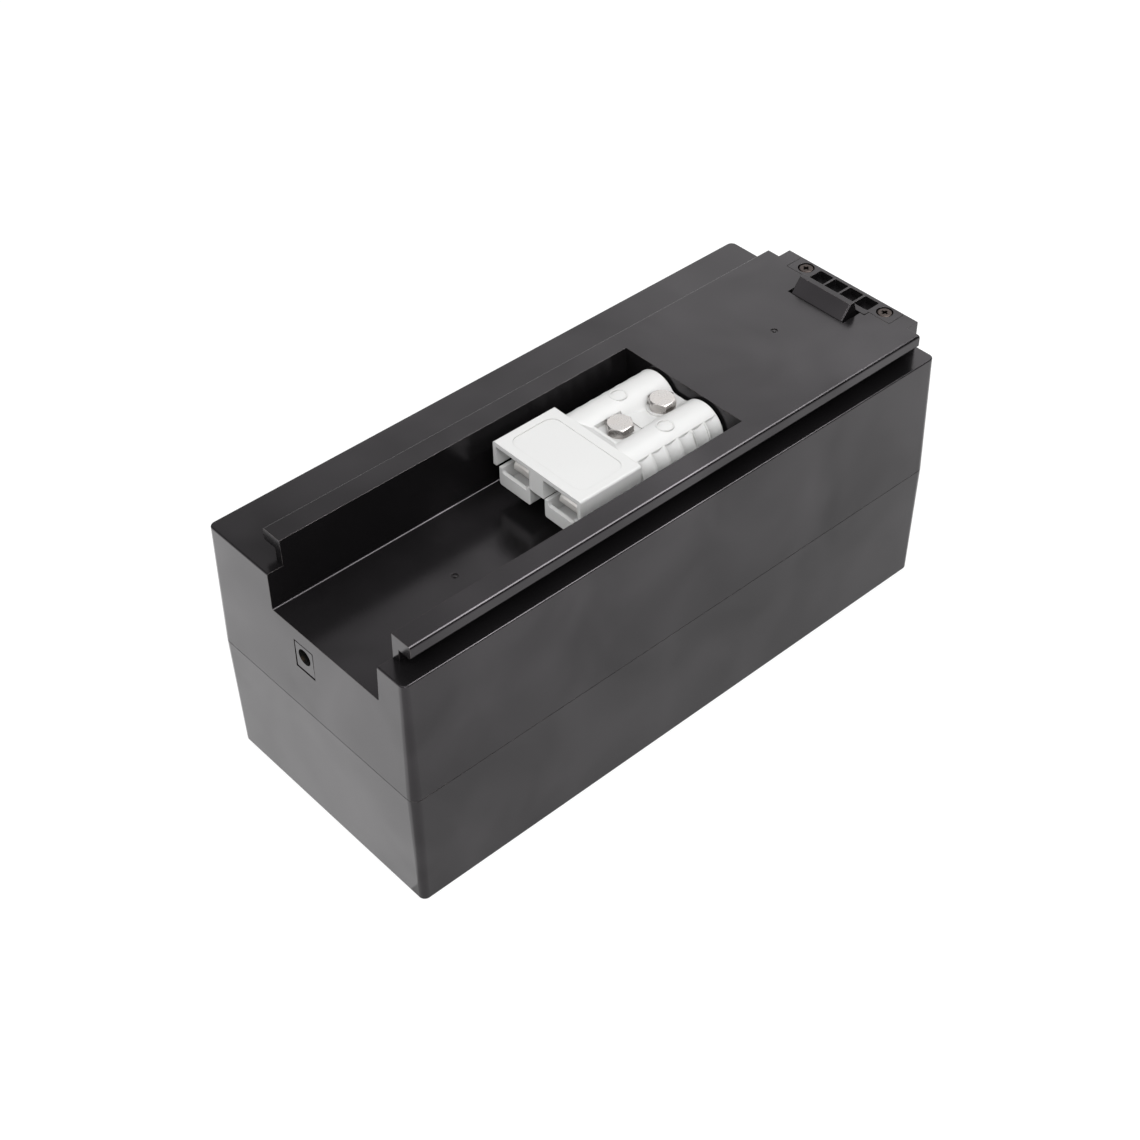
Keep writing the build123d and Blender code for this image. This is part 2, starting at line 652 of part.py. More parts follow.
def contact_springs():
    """A leaf spring under each contact bar."""
    floor = CUP_FLOOR_Z + 0.02
    thick = 0.8
    crest_z = CONTACT_UNDER_Z - 0.1
    rear_y = HOOD_REAR - 1.5
    outline = [
        (rear_y, floor), (rear_y, floor + thick), (-16.0, crest_z), (-22.0, crest_z),
        (-26.0, crest_z - 2.0), (-26.0, crest_z - 2.0 - thick), (-22.2, crest_z - thick),
        (-16.0, crest_z - thick), (-11.0, floor),
    ]
    return Compound(children=[side_profile(outline, x - 4.0, x + 4.0) for x in POLES])


def connector_bolts():
    """Two hexagon bolts whose head corners are rounded off."""
    head_base = BOLT_SEAT_Z + WASHER_THICK
    bolts = []
    for y in BOLT_Y:
        head = hex_prism(RAIL_X, y, head_base, head_base + BOLT_HEAD, BOLT_HEX)
        dome = Pos(RAIL_X, y, head_base + BOLT_HEAD / 2) * Cone(9.2, 4.4, BOLT_HEAD)
        shank = upright(RAIL_X, y, head_base - BOLT_LENGTH, head_base, BOLT_RADIUS)
        bolts.append((head & dome) + shank)
    return Compound(children=bolts)


def connector_washers():
    """Spring washers, hidden under the bolts' heads."""
    washers = []
    for y in BOLT_Y:
        disc = upright(RAIL_X, y, BOLT_SEAT_Z, BOLT_SEAT_Z + WASHER_THICK, WASHER_RADIUS)
        hole = upright(
            RAIL_X, y, BOLT_SEAT_Z - OVERCUT, BOLT_SEAT_Z + 2 * WASHER_THICK, BOLT_RADIUS + 0.15
        )
        washers.append(disc - hole)
    return Compound(children=washers)


def connector_inserts():
    """Threaded brass inserts in the bay's two pads."""
    base = BAY_UNDER_Z + 0.5
    inserts = []
    for y in BOLT_Y:
        sleeve = upright(RAIL_X, y, base, CONNECTOR_BASE_Z, INSERT_RADIUS)
        thread = upright(
            RAIL_X, y, base - OVERCUT, CONNECTOR_BASE_Z + OVERCUT, BOLT_RADIUS + 0.02
        )
        inserts.append(sleeve - thread)
    return Compound(children=inserts)


def cable_grommet(x):
    """A sleeve in the bay's rear wall, with a flange behind the wall."""
    flange_y = BAY_WALL_REAR + 0.02
    sleeve = lengthwise(x, CONNECTOR_MID_Z, BAY_REAR, flange_y, CABLE_HOLE_RADIUS - RUN)
    flange = lengthwise(x, CONNECTOR_MID_Z, flange_y, flange_y + 1.5, 7.4)
    ends = (BAY_REAR - OVERCUT, flange_y + 1.5 + OVERCUT)
    return sleeve + flange - lengthwise(x, CONNECTOR_MID_Z, *ends, CABLE_RADIUS + RUN)


def cable_grommets():
    return Compound(children=[cable_grommet(x) for x in POLES])


def conductor(x):
    """The bared end of a power cable, in its contact's barrel."""
    return lengthwise(x, CONNECTOR_MID_Z, 5.0, 25.0, 3.9)


def negative_cable():
    """From the connector down to the management board."""
    x = POLES[0]
    z = CONNECTOR_MID_Z
    path = [(x, 24.0, z), (x, 56.0, z), (x, 56.0, BOARD_TOP_Z + RUN)]
    return cable(CABLE_RADIUS, path, 8.0) + conductor(x)


def positive_cable():
    """From the connector down and across to the fuse."""
    x = POLES[1]
    z = CONNECTOR_MID_Z
    path = [(x, 24.0, z), (x, 50.0, z), (x, 50.0, 90.0), (34.9, 50.0, 90.0)]
    return cable(CABLE_RADIUS, path, 6.2) + conductor(x)


# ---------------------------------------------------------------- charge socket
def socket_body():
    half_height = SOCKET_HEIGHT / 2
    shape = centred(
        SOCKET_WIDTH / 2, SOCKET_FRONT, SOCKET_FRONT + SOCKET_DEPTH,
        SOCKET_Z - half_height, SOCKET_Z + half_height, x=SOCKET_X,
    )
    shape = fillet(shape.edges().filter_by(Axis.Y), 0.5)
    ends = (SOCKET_FRONT - OVERCUT, SOCKET_FRONT + SOCKET_BORE_DEPTH)
    return shape - lengthwise(SOCKET_X, SOCKET_BORE_Z, *ends, SOCKET_BORE_RADIUS)


def socket_pin():
    ends = (SOCKET_FRONT + 1.5, SOCKET_FRONT + SOCKET_BORE_DEPTH)
    pin = lengthwise(SOCKET_X, SOCKET_BORE_Z, *ends, SOCKET_PIN_RADIUS)
    return fillet(pin.edges().group_by(Axis.Y)[0], 0.5)


def socket_tabs():
    """Two solder tabs behind the socket."""
    back = SOCKET_FRONT + SOCKET_DEPTH
    tabs = [
        centred(1.2, back, back + 4.0, TAB_Z, TAB_Z + 0.5, x=SOCKET_X + offset)
        for offset in (-TAB_X, TAB_X)
    ]
    return Compound(children=tabs)


def charge_lead():
    """Two wires from the socket's tabs to the plug on the board."""
    start = SOCKET_FRONT + SOCKET_DEPTH + 1.0
    wires = [
        lengthwise(SOCKET_X + offset, CHARGE_WIRE_Z, start, BOARD_Y[0] + 1.0, 1.1)
        for offset in (-TAB_X, TAB_X)
    ]
    return Compound(children=wires)


def charge_plug():
    return centred(4.5, 47.0, 52.0, 78.4, BOARD_Z, x=SOCKET_X)


# ---------------------------------------------------------------- cells and their frame
def cells():
    """Cylindrical cells, 10 in series by 4 in parallel."""
    group = [upright(x, y, CELL_BASE_Z, CELL_TOP_Z, CELL_RADIUS) for y in ROW_Y for x in COLUMN_X]
    return Compound(children=group)


def cell_holder(z0, z1):
    """A frame with a hole for every cell and notches for the case's screw columns."""
    low = z0 - OVERCUT
    high = z1 + OVERCUT
    plate = block(-HOLDER_HALF_X, HOLDER_HALF_X, *BLOCK_ENDS, z0, z1)
    for y in ROW_Y:
        for x in COLUMN_X:
            plate -= upright(x, y, low, high, CELL_RADIUS + RUN)
    for x, y in BOSS_PLACES:
        plate -= upright(x, y, low, high, BOSS_RADIUS + 0.4)
        edge = math.copysign(HOLDER_HALF_X + 2.0, x)
        plate -= block(min(x, edge), max(x, edge), y - 2.4, y + 2.4, low, high)
    return plate


def lower_cell_holder():
    return cell_holder(CELL_BASE_Z, CELL_BASE_Z + HOLDER_DEPTH)


def upper_cell_holder():
    """The upper frame also carries four posts for the management board."""
    shape = cell_holder(CELL_TOP_Z - HOLDER_DEPTH, CELL_TOP_Z)
    for x, y in BOARD_PLACES:
        shape += upright(x, y, CELL_TOP_Z - 0.5, BOARD_Z, POST_RADIUS) - cells_near(x, y)
        shape -= upright(
            x, y, CELL_TOP_Z + 0.6, BOARD_Z + OVERCUT, BOARD_SCREW_RADIUS + RUN / 2
        )
    return shape


def cells_near(x, y):
    """The room of the cells around one post."""
    cans = Part()
    for cell_y in ROW_Y:
        for cell_x in COLUMN_X:
            if math.hypot(cell_x - x, cell_y - y) < CELL_RADIUS + POST_RADIUS + 1.0:
                cans += upright(cell_x, cell_y, CELL_BASE_Z, CELL_TOP_Z + RUN, CELL_RADIUS + RUN)
    return cans


def strip(first_row, last_row, z0):
    """A nickel strip over one row or two neighbouring rows of cells."""
    y0 = ROW_Y[first_row] - STRIP_HALF_Y
    y1 = ROW_Y[last_row] + STRIP_HALF_Y
    x0 = COLUMN_X[0] - STRIP_HALF_X
    x1 = COLUMN_X[-1] + STRIP_HALF_X
    return block(x0, x1, y0, y1, z0, z0 + STRIP_THICK)


def lower_strips():
    pairs = [(row, row + 1) for row in range(0, CELL_ROWS, 2)]
    return Compound(children=[strip(a, b, CELL_BASE_Z - STRIP_THICK) for a, b in pairs])


def upper_strips():
    last = CELL_ROWS - 1
    pairs = [(0, 0)] + [(row, row + 1) for row in range(1, last, 2)] + [(last, last)]
    posts = post_room()
    return Compound(children=[strip(a, b, CELL_TOP_Z) - posts for a, b in pairs])


def post_room():
    """Room round the board's posts."""
    room = Part()
    for x, y in BOARD_PLACES:
        room += upright(x, y, CELL_TOP_Z - OVERCUT, BOARD_Z, POST_RADIUS + 0.4)
    return room


def sheet(z0, z1):
    """A sheet over the whole block of cells, notched at the case's screw columns."""
    reach = BOSS_RADIUS + 0.6
    plate = block(-HOLDER_HALF_X, HOLDER_HALF_X, *BLOCK_ENDS, z0, z1)
    for x, y in BOSS_PLACES:
        ends = sorted((math.copysign(HOLDER_HALF_X + 2.0, x), math.copysign(abs(x) - reach, x)))
        plate -= block(*ends, y - reach, y + reach, z0 - OVERCUT, z1 + OVERCUT)
    return plate


def foam_pad():
    return sheet(WALL, WALL + FOAM_THICK)


def lower_insulation():
    base = WALL + FOAM_THICK
    return sheet(base, base + SHEET_THICK)


def upper_insulation():
    """The upper sheet has windows where the strap and the lead reach their strips."""
    base = CELL_TOP_Z + STRIP_THICK
    low = base - OVERCUT
    high = base + OVERCUT
    shape = sheet(base, base + SHEET_THICK) - post_room()
    shape -= centred(STRAP_HALF + 1.0, 96.0, 109.0, low, high, x=STRAP_X)
    return shape - centred(4.5, -101.0, -86.0, low, high, x=LEAD_X)


# ---------------------------------------------------------------- electronics and wiring
def bms_board():
    board = block(*BOARD_X, *BOARD_Y, BOARD_Z, BOARD_TOP_Z)
    for x, y in BOARD_PLACES:
        board -= upright(x, y, BOARD_Z - OVERCUT, BOARD_TOP_Z + OVERCUT, BOARD_SCREW_RADIUS + 0.2)
    return board


def bms_screws():
    head_z = BOARD_TOP_Z + BOARD_SCREW_HEAD
    screws = []
    for x, y in BOARD_PLACES:
        head = upright(x, y, BOARD_TOP_Z, head_z, 2.5)
        shank = upright(x, y, BOARD_TOP_Z - 6.0, BOARD_TOP_Z, BOARD_SCREW_RADIUS)
        screws.append(head + shank - cross_recess(x, y, head_z, 1.3, 1.0))
    return Compound(children=screws)


def bms_transistors():
    """A row of power transistors under the heat spreader."""
    pitch = 9.6
    first = -31.0
    top = BOARD_TOP_Z
    row = [
        centred(4.0, 70.0, 79.0, top, top + TRANSISTOR_HEIGHT, x=first + pitch * number)
        for number in range(TRANSISTORS)
    ]
    return Compound(children=row)


def bms_heat_spreader():
    """A grooved aluminium bar on the transistors."""
    base = BOARD_TOP_Z + TRANSISTOR_HEIGHT
    thick = 3.0
    groove = 2.0
    shape = block(-36.0, 22.0, 68.0, 84.0, base, base + thick)
    for number in range(3):
        y = 71.0 + 5.0 * number
        shape -= block(-37.0, 23.0, y, y + groove, base + thick / 2, base + thick + OVERCUT)
    return shape


def balance_plug():
    return block(RIBBON_X[0] - 0.5, RIBBON_X[1] + 0.5, 47.0, 53.0, RIBBON_Z[0] - 0.2, BOARD_Z)


def balance_harness():
    """A ribbon of sense wires along the top of the cells, grooved between the wires."""
    wires = 10
    groove_half = 0.15
    pitch = (RIBBON_X[1] - RIBBON_X[0]) / wires
    ribbon = block(*RIBBON_X, -92.0, 47.0, *RIBBON_Z)
    for number in range(1, wires):
        x = RIBBON_X[0] + pitch * number
        top = RIBBON_Z[1]
        ribbon -= centred(groove_half, -93.0, 48.0, top - 2 * groove_half, top + 0.2, x=x)
    return ribbon


def fuse():
    """A moulded fuse body with a slot for its link."""
    body = centred(6.0, 62.0, 84.0, 82.0, 93.0, x=STRAP_X)
    body = fillet(body.edges().filter_by(Axis.Y), 1.5)
    return body - centred(STRAP_HALF + 0.1, 61.0, 85.0, STRAP_Z[0] - 0.1, STRAP_Z[1] + 0.1, x=STRAP_X)


def fuse_link():
    """The link through the fuse, and the strap down to the last row of cells."""
    thick = 1.6
    foot_z = CELL_TOP_Z + STRIP_THICK
    down_y = STRAP_END_Y - thick
    link = centred(STRAP_HALF, 47.0, STRAP_END_Y, *STRAP_Z, x=STRAP_X)
    lug = block(35.0, 36.5, 46.5, 53.5, STRAP_Z[0], 93.5)
    down = centred(STRAP_HALF, down_y, STRAP_END_Y, foot_z, STRAP_Z[1], x=STRAP_X)
    foot = centred(STRAP_HALF, down_y, 107.0, foot_z, foot_z + thick, x=STRAP_X)
    return link + lug + down + foot


def negative_lead():
    """From the first row of cells to the management board."""
    low = 81.0
    high = 87.2
    path = [(LEAD_X, -88.0, low), (LEAD_X, 36.0, low), (LEAD_X, 42.0, high), (LEAD_X, 54.0, high)]
    front_lug = centred(LEAD_RADIUS, -99.0, -87.0, CELL_TOP_Z + STRIP_THICK, low + 1.0, x=LEAD_X)
    rear_lug = centred(LEAD_RADIUS, 53.0, 60.0, BOARD_TOP_Z + RUN, high + 0.8, x=LEAD_X)
    return cable(LEAD_RADIUS, path, 5.0) + front_lug + rear_lug


# ---------------------------------------------------------------- write every node
NODES = [
    upper_case, lower_case, case_seal, case_screws,
    latch, latch_springs, latch_cover, latch_cover_screws,
    connector_housing, contact_negative, contact_positive, contact_springs,
    connector_bolts, connector_washers, connector_inserts, cable_grommets,
    negative_cable, positive_cable,
    socket_body, socket_pin, socket_tabs, charge_lead, charge_plug,
    cells, lower_cell_holder, upper_cell_holder, lower_strips, upper_strips,
    foam_pad, lower_insulation, upper_insulation,
    bms_board, bms_screws, bms_transistors, bms_heat_spreader,
    balance_plug, balance_harness, fuse, fuse_link, negative_lead,
]

os.makedirs("parts", exist_ok=True)
for node in NODES:
    export_step(node(), f"parts/{node.__name__}.step")
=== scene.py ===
import json
import math

import bpy
import numpy as np
from mathutils import Matrix, Vector


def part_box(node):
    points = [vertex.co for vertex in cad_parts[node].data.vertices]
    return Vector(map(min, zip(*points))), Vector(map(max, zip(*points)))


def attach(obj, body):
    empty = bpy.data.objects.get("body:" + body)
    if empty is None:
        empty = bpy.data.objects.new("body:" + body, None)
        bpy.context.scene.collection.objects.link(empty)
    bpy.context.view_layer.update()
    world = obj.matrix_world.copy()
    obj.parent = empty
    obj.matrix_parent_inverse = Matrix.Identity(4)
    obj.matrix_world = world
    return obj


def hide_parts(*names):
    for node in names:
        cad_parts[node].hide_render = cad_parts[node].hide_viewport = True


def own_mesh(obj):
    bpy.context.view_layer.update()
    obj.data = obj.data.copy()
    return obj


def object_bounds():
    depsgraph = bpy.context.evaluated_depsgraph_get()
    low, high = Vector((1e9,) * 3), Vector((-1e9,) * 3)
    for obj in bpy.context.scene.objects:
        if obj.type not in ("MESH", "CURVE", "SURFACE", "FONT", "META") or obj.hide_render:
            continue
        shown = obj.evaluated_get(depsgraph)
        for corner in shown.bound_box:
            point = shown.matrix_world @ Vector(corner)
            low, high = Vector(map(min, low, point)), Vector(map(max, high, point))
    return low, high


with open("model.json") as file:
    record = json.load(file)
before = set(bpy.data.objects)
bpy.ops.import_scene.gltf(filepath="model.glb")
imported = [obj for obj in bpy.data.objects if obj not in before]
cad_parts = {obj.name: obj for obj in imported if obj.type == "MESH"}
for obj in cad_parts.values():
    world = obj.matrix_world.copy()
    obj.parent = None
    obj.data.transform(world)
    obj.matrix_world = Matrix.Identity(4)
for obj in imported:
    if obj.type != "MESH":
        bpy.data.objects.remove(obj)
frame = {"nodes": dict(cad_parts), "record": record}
NODES = frame["nodes"]
CAD_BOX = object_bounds()
MM = 0.001

# ---------------------------------------------------------------- camera
VIEW_AZIMUTH = 47.84        # degrees; 0 looks along +Y
VIEW_ELEVATION = 42.58
VIEW_ROLL = -0.50
VIEW_DISTANCE = 0.7412      # metres
VIEW_LENS = 63.95           # mm, on a 36 mm sensor
VIEW_SHIFT = (-0.0176, 0.0020)
AIM_OFFSET = (4.6 * MM, -3.9 * MM, -14.6 * MM)     # from the middle of the object's box

# ---------------------------------------------------------------- light
# Brightness is radiance, where 1 is a white that just fills the picture's range.
KEY_LIGHT = 1.3             # soft box at the front left; lights surfaces, not seen in reflections
FILL_LIGHT = 2.8            # soft box at the right, of the same kind
TOP_LIGHT = 1.5
EDGE_LIGHT = 11.0           # strip above the tail, seen only in glossy edges
SIDE_LIGHT = 8.0            # low strip at the front right, seen only in glossy edges
FLOOR_LIGHT = 0.84          # the pale floor glows like a light table
FLOOR_NEAR = 0.67           # painted contact shadow: share of the glow that reflections see close to the object
FLOOR_GLOW = 0.55           # extra glare of the floor before the nose, in reflections only
ROOM_LIGHT = 0.05
REAR_ROOM = 1.6             # the room is brighter behind the left of the tail
FRONT_ROOM = 1.1            # and before the left of the nose


# ---------------------------------------------------------------- surfaces
CREVICE_REACH = 2.5 * MM    # how far a wall darkens a corner
OPENNESS_SAMPLES = 6
BEVEL_SAMPLES = 4


# ---------------------------------------------------------------- node helpers
def add(tree, kind, inputs=None, **settings):
    """One shader node. An input is a value, or a socket to link."""
    made = tree.nodes.new("ShaderNode" + kind)
    for key, value in settings.items():
        setattr(made, key, value)
    for key, value in (inputs or {}).items():
        if isinstance(value, bpy.types.NodeSocket):
            tree.links.new(value, made.inputs[key])
        else:
            made.inputs[key].default_value = value
    return made


def place(tree):
    """Coordinates in metres, in the object's own frame."""
    return add(tree, "TexCoord").outputs["Object"]


def stretched(tree, scale):
    """Coordinates stretched by a factor along each axis."""
    return add(tree, "Mapping", {"Vector": place(tree), "Scale": scale}).outputs["Vector"]


def noise(tree, scale, detail=2.0, where=None, distortion=0.0):
    """Noise with about `scale` blobs to the metre, from 0 to 1."""
    settings = {
        "Vector": where or place(tree), "Scale": scale, "Detail": detail, "Distortion": distortion
    }
    return add(tree, "TexNoise", settings).outputs["Fac"]


def remap(tree, value, low, high, to_low=0.0, to_high=1.0):
    settings = {
        "Value": value, "From Min": low, "From Max": high, "To Min": to_low, "To Max": to_high
    }
    return add(tree, "MapRange", settings).outputs["Result"]


def calc(tree, operation, first, second=0.0, clamp=False):
    made = add(tree, "Math", operation=operation, use_clamp=clamp)
    for socket, value in zip(made.inputs, (first, second)):
        if isinstance(value, bpy.types.NodeSocket):
            tree.links.new(value, socket)
        else:
            socket.default_value = value
    return made.outputs[0]


def mix(tree, share, first, second, data_type="RGBA"):
    """The first value where share is 0, the second where it is 1. For colours, or for vectors."""
    made = add(tree, "Mix", data_type=data_type)
    for key, value in (("Factor", share), ("A", first), ("B", second)):
        socket = next(s for s in made.inputs if s.name == key and s.enabled)
        if isinstance(value, bpy.types.NodeSocket):
            tree.links.new(value, socket)
        else:
            socket.default_value = value
    return next(s for s in made.outputs if s.enabled)


def bump(tree, height, distance, normal=None, strength=1.0):
    settings = {"Height": height, "Distance": distance, "Strength": strength}
    if normal is not None:
        settings["Normal"] = normal
    return add(tree, "Bump", settings).outputs["Normal"]


def openness(tree, reach):
    """1 on open faces, 0.5 in a square corner, near 0 deep in a gap."""
    return add(tree, "AmbientOcclusion", {"Distance": reach}, samples=OPENNESS_SAMPLES).outputs["AO"]


def rounded(tree, radius):
    """A normal that rounds off sharp edges, and a mask that is 1 along them."""
    normal = add(tree, "Bevel", {"Radius": radius}, samples=BEVEL_SAMPLES).outputs["Normal"]
    flat = add(tree, "NewGeometry").outputs["Normal"]
    facing = add(tree, "VectorMath", {0: normal, 1: flat}, operation="DOT_PRODUCT").outputs["Value"]
    return normal, remap(tree, facing, 0.995, 0.85)


def sharp_inside(tree, normal, open_air):
    """The rounded normal, put back to the flat one along inside corners."""
    flat = add(tree, "NewGeometry").outputs["Normal"]
    mixed = mix(tree, remap(tree, open_air, 0.9, 0.65), normal, flat, "VECTOR")
    return add(tree, "VectorMath", {0: mixed}, operation="NORMALIZE").outputs[0]


def grey(value, tint=(1.0, 1.0, 1.0)):
    return tuple(value * part for part in tint) + (1.0,)


def new_material(name):
    material = bpy.data.materials.new(name)
    material.use_nodes = True
    return material, material.node_tree, material.node_tree.nodes["Principled BSDF"]


def connect(tree, surface, **inputs):
    """Sets or links the surface's inputs; an underscore stands for a space."""
    for key, value in inputs.items():
        socket = surface.inputs[key.replace("_", " ")]
        if isinstance(value, bpy.types.NodeSocket):
            tree.links.new(value, socket)
        else:
            socket.default_value = value


# ---------------------------------------------------------------- materials
def moulded_plastic(
    name, color, worn, roughness, edge=0.24 * MM, mottle=1.0, grain=1.0,
    gloss=0.45, tint=(1.0, 1.0, 1.0, 1.0), crevice_shade=None, edge_highlight=None,
):
    """Injection-moulded plastic: fine grain, faint sink and flow marks, worn edges, smudges.

    Noise scales are blobs to the metre. Mottle, grain and gloss set how strong each is. The last
    two arguments are colours of painted light: shade painted into gaps, and a highlight painted
    along outer edges.
    """
    material, tree, surface = new_material(name)
    edge_normal, edges = rounded(tree, edge)
    open_air = openness(tree, CREVICE_REACH)
    edge_normal = sharp_inside(tree, edge_normal, open_air)
    clouds = noise(tree, 24, 2.0, distortion=0.5)
    flow = noise(tree, 45, 2.0, stretched(tree, (1.0, 0.3, 1.0)), 0.4)
    smudges = remap(tree, noise(tree, 80, 3.0), 0.5, 0.8)
    scuffs = calc(tree, "MULTIPLY", edges, remap(tree, noise(tree, 420, 3.0), 0.42, 0.66))
    speckle = remap(tree, noise(tree, 1900, 1.0), 0.3, 0.7)
    tone = mix(tree, remap(tree, clouds, 0.3, 0.7, 0.0, 0.15), color, worn)
    tone = mix(tree, calc(tree, "MULTIPLY", scuffs, 0.5), tone, worn)
    tone = mix(tree, calc(tree, "MULTIPLY", speckle, 0.05), tone, worn)
    # painted highlight: open outer edges are lightened, unevenly, toward a paler colour
    if edge_highlight:
        outer = calc(tree, "MULTIPLY", edges, remap(tree, open_air, 0.7, 0.9))
        uneven = remap(tree, noise(tree, 160, 3.0), 0.35, 0.65, 0.45, 1.0)
        tone = mix(tree, calc(tree, "MULTIPLY", outer, uneven), tone, edge_highlight)
    # painted shade: gaps are darkened toward a shade colour by how shut in they are
    if crevice_shade:
        tone = mix(tree, remap(tree, open_air, 0.60, 0.10, 0.0, 0.6), tone, crevice_shade)
    rough = calc(tree, "ADD", roughness - 0.04, calc(tree, "MULTIPLY", flow, 0.08))
    rough = calc(tree, "ADD", rough, calc(tree, "MULTIPLY", smudges, 0.04))
    rough = calc(tree, "ADD", rough, calc(tree, "MULTIPLY", scuffs, 0.10), clamp=True)
    sheen = remap(tree, clouds, 0.25, 0.75, gloss - 0.10 * mottle, gloss + 0.10 * mottle)
    # painted shade: the specular level drops in inside corners, so they look darker
    sheen = calc(tree, "MULTIPLY", sheen, remap(tree, open_air, 0.45, 0.85, 0.3, 1.0))
    normal = bump(tree, noise(tree, 9, 1.0), 0.12 * MM * mottle, edge_normal)
    normal = bump(tree, speckle, 0.003 * MM * grain, normal)
    connect(tree, surface, Base_Color=tone, Roughness=rough, Normal=normal, IOR=1.52)
    connect(tree, surface, Specular_IOR_Level=sheen, Specular_Tint=tint)
    return material


def metal(
    name, color, dull, roughness, brushed=(1.0, 1.0, 1.0), tarnish=0.3, edge=0.15 * MM, metallic=1.0
):
    """Metal with fine working marks, patches of tarnish and polished edges."""
    material, tree, surface = new_material(name)
    edge_normal, edges = rounded(tree, edge)
    marks = noise(tree, 2600, 2.0, stretched(tree, brushed))
    patches = remap(tree, noise(tree, 240, 4.0, distortion=0.5), 0.42, 0.72)
    tone = mix(tree, calc(tree, "MULTIPLY", patches, tarnish), color, dull)
    rough = calc(tree, "ADD", roughness - 0.05, calc(tree, "MULTIPLY", marks, 0.12))
    rough = calc(tree, "ADD", rough, calc(tree, "MULTIPLY", patches, 0.10))
    rough = calc(tree, "SUBTRACT", rough, calc(tree, "MULTIPLY", edges, 0.08), clamp=True)
    normal = bump(tree, marks, 0.01 * MM, edge_normal)
    normal = bump(tree, noise(tree, 500, 1.0), 0.008 * MM, normal)
    connect(tree, surface, Base_Color=tone, Roughness=rough, Normal=normal, Metallic=metallic)
    return material


def rubber(name, color, dusty, roughness=0.62):
    """Soft rubber or silicone with a dusty bloom."""
    material, tree, surface = new_material(name)
    bloom = remap(tree, noise(tree, 90, 4.0, distortion=0.6), 0.4, 0.75)
    pores = noise(tree, 2200, 2.0)
    edge_normal, edges = rounded(tree, 0.2 * MM)
    tone = mix(tree, calc(tree, "MULTIPLY", bloom, 0.35), color, dusty)
    tone = mix(tree, calc(tree, "MULTIPLY", edges, 0.25), tone, dusty)
    rough = calc(tree, "ADD", roughness, calc(tree, "MULTIPLY", bloom, 0.12), clamp=True)
    normal = bump(tree, pores, 0.01 * MM, edge_normal)
    connect(tree, surface, Base_Color=tone, Roughness=rough, Normal=normal)
    return material


def fibre_sheet(name, color, pale):
    """Pressed insulating sheet with a fibrous surface."""
    material, tree, surface = new_material(name)
    fibres = noise(tree, 700, 4.0, stretched(tree, (1.0, 0.12, 1.0)), 1.2)
    cross = noise(tree, 700, 4.0, stretched(tree, (0.12, 1.0, 1.0)), 1.2)
    weave = calc(tree, "MAXIMUM", fibres, cross)
    edge_normal, edges = rounded(tree, 0.1 * MM)
    tone = mix(tree, remap(tree, weave, 0.5, 0.75, 0.0, 0.6), color, pale)
    tone = mix(tree, calc(tree, "MULTIPLY", edges, 0.4), tone, pale)
    connect(tree, surface, Base_Color=tone, Roughness=remap(tree, weave, 0.3, 0.8, 0.75, 0.5))
    connect(tree, surface, Normal=bump(tree, weave, 0.03 * MM, edge_normal))
    return material


def foam(name, color, pale):
    """Closed-cell foam."""
    material, tree, surface = new_material(name)
    bubbles = add(tree, "TexVoronoi", {"Vector": place(tree), "Scale": 900.0}).outputs["Distance"]
    tone = mix(tree, remap(tree, bubbles, 0.1, 0.7), pale, color)
    connect(tree, surface, Base_Color=tone, Roughness=remap(tree, bubbles, 0.0, 0.8, 0.95, 0.8))
    connect(tree, surface, Normal=bump(tree, bubbles, 0.15 * MM))
    return material


def circuit_board(name):
    """Green solder mask over copper traces that run both ways."""
    material, tree, surface = new_material(name)
    cells = add(
        tree, "TexVoronoi", {"Vector": stretched(tree, (1.0, 0.35, 1.0)), "Scale": 260.0},
        distance="MANHATTAN",
    ).outputs["Distance"]
    traces = remap(tree, cells, 0.28, 0.34)
    edge_normal, edges = rounded(tree, 0.1 * MM)
    tone = mix(tree, traces, (0.010, 0.085, 0.030, 1), (0.022, 0.160, 0.055, 1))
    tone = mix(tree, calc(tree, "MULTIPLY", edges, 0.6), tone, (0.35, 0.30, 0.16, 1))
    rough = remap(tree, noise(tree, 300, 3.0), 0.3, 0.7, 0.22, 0.36)
    normal = bump(tree, traces, 0.03 * MM, edge_normal)
    connect(tree, surface, Base_Color=tone, Roughness=rough, Normal=normal)
    return material


def cell_sleeve(name, color, pale):
    """Heat-shrink film over a can: glossy, with faint vertical wrinkles and bare metal at both ends."""
    material, tree, surface = new_material(name)
    facing = add(tree, "SeparateXYZ", {0: add(tree, "NewGeometry").outputs["Normal"]}).outputs["Z"]
    bare = remap(tree, calc(tree, "ABSOLUTE", facing), 0.8, 0.9)
    wrinkles = noise(tree, 260, 3.0, stretched(tree, (1.0, 1.0, 0.08)), 0.4)
    haze = remap(tree, noise(tree, 80, 3.0), 0.35, 0.75)
    edge_normal, edges = rounded(tree, 0.25 * MM)
    tone = mix(tree, calc(tree, "MULTIPLY", haze, 0.35), color, pale)
    tone = mix(tree, calc(tree, "MULTIPLY", edges, 0.3), tone, pale)
    tone = mix(tree, bare, tone, (0.55, 0.54, 0.52, 1))
    rough = calc(tree, "ADD", 0.22, calc(tree, "MULTIPLY", wrinkles, 0.2))
    normal = bump(tree, wrinkles, 0.05 * MM, edge_normal)
    connect(tree, surface, Base_Color=tone, Roughness=rough, Normal=normal, Metallic=bare)
    return material


